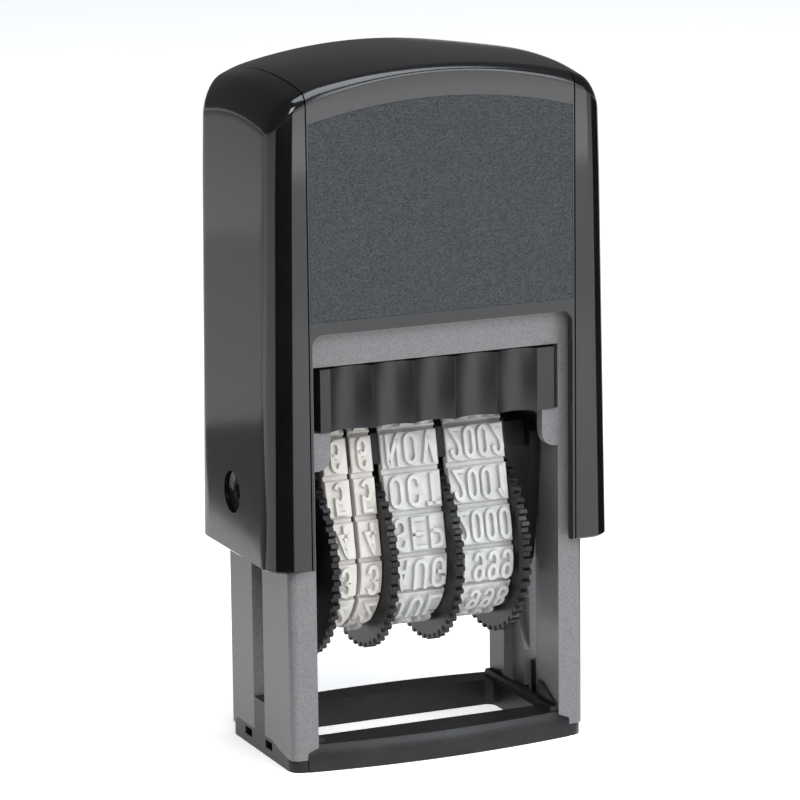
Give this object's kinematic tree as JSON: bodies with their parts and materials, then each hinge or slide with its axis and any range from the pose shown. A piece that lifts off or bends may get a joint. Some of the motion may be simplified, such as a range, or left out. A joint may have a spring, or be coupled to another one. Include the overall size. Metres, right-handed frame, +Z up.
{
  "type": "rotary date stamp",
  "caption": "Self-inking rotary date stamp: press cap over a portal frame, turning carriage with toothed thumb wheels and rubber date bands, slide-out ink pad and print window base.",
  "frame": {"origin": "centre of the base in plan, on the surface the stamp stands on", "axes": "+X to the right across the front, +Y to the back, +Z up along the cap's travel"},
  "size_m": [0.0382, 0.0209, 0.0725],
  "materials": {
    "frame_grey": "satin",
    "base_black": "satin",
    "cap_black": "gloss",
    "cover_black": "gloss",
    "label_charcoal": "fine grain",
    "spring_steel": "satin",
    "holder_black": "satin",
    "ink_felt": "inked felt",
    "carriage_black": "satin",
    "axle_steel": "satin",
    "wheel_black": "satin",
    "band_ivory_days": "matte",
    "band_ivory": "matte"
  },
  "bodies": {
    "frame": {"frame": "frame_grey", "base_frame": "base_black", "return_spring": "spring_steel"},
    "pad": {"pad_holder": "holder_black", "ink_pad": "ink_felt"},
    "cap": {"cap_shell": "cap_black", "cap_cover": "cover_black", "front_label": "label_charcoal", "rear_label": "label_charcoal"},
    "carriage": {"left_side_plate": "carriage_black", "right_side_plate": "carriage_black", "platen": "carriage_black", "detent_spring": "spring_steel", "wheel_axle": "axle_steel", "spacer_bush": "carriage_black", "band_day_tens": "band_ivory_days", "band_day_units": "band_ivory_days", "band_month": "band_ivory", "band_year": "band_ivory"},
    "wheel_day_tens": {"wheel_day_tens": "wheel_black"},
    "wheel_day_units": {"wheel_day_units": "wheel_black"},
    "wheel_month": {"wheel_month": "wheel_black"},
    "wheel_year": {"wheel_year": "wheel_black"}
  },
  "joints": [
    {"name": "cap_press", "type": "slide", "parent": "frame", "child": "cap", "axis": [0, 0, -1], "range_m": [0, 0.0188], "stiffness_N_per_m": 400, "springref_m": -0.004, "deforming": ["return_spring"]},
    {"name": "carriage_flip", "type": "hinge", "parent": "cap", "child": "carriage", "pos_m": [0, 0.0005, 0.028], "axis": [-1, 0, 0], "range_deg": [0, 180]},
    {"name": "pad_slide", "type": "slide", "parent": "frame", "child": "pad", "axis": [0, 1, 0], "range_m": [-0.02, 0]},
    {"name": "spin_day_tens", "type": "hinge", "parent": "carriage", "child": "wheel_day_tens", "pos_m": [0, 0.0005, 0.0201], "axis": [1, 0, 0], "continuous": true},
    {"name": "spin_day_units", "type": "hinge", "parent": "carriage", "child": "wheel_day_units", "pos_m": [0, 0.0005, 0.0201], "axis": [1, 0, 0], "continuous": true},
    {"name": "spin_month", "type": "hinge", "parent": "carriage", "child": "wheel_month", "pos_m": [0, 0.0005, 0.0201], "axis": [1, 0, 0], "continuous": true},
    {"name": "spin_year", "type": "hinge", "parent": "carriage", "child": "wheel_year", "pos_m": [0, 0.0005, 0.0201], "axis": [1, 0, 0], "continuous": true}
  ],
  "couplings": [
    {"joint": "carriage_flip", "follows": "cap_press", "rad_per_m": 167.1}
  ]
}
